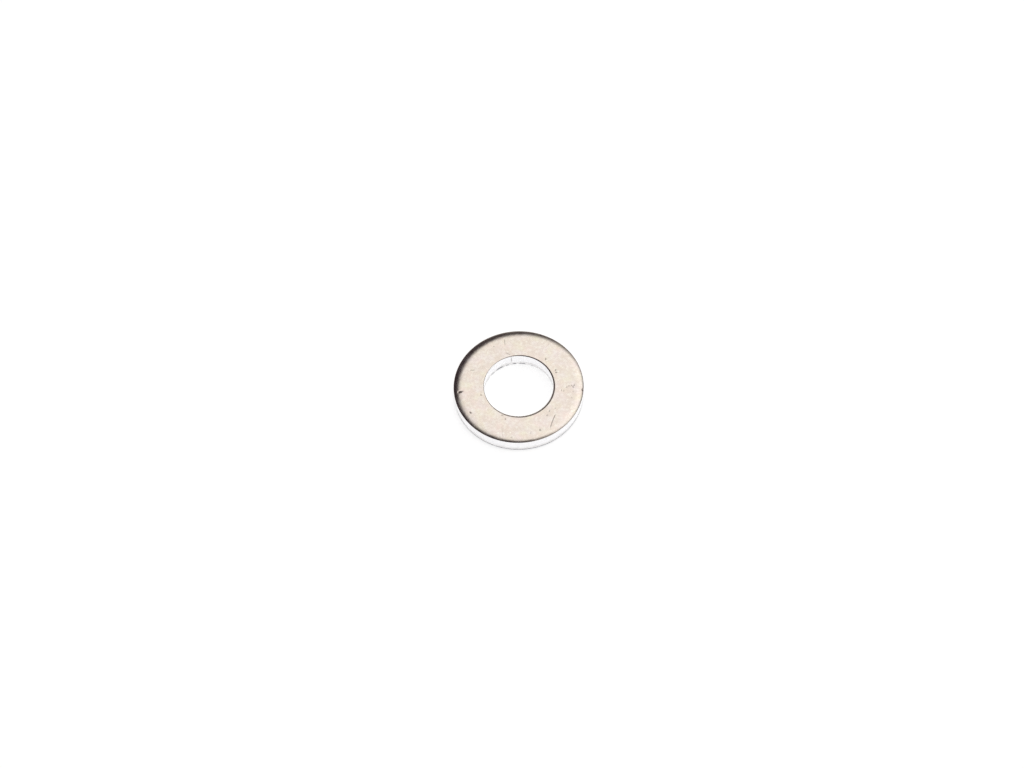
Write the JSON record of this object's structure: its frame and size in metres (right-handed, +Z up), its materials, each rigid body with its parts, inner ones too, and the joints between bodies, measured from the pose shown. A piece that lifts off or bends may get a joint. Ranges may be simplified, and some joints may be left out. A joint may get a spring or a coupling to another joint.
{
  "type": "flat ring gasket",
  "caption": "Flat round metal ring with a plain hole, punched from sheet, that seals or spreads the load under a bolt head.",
  "frame": {"origin": "on the hole's axis, at the underside that the ring lies on", "axes": "+Z up along the hole's axis, towards the face with the rolled edges; X and Y lie in the sheet"},
  "size_m": [0.012, 0.012, 0.0015],
  "materials": {
    "plated_steel": "satin"
  },
  "bodies": {
    "root": {"gasket_ring": "plated_steel"}
  },
  "joints": []
}
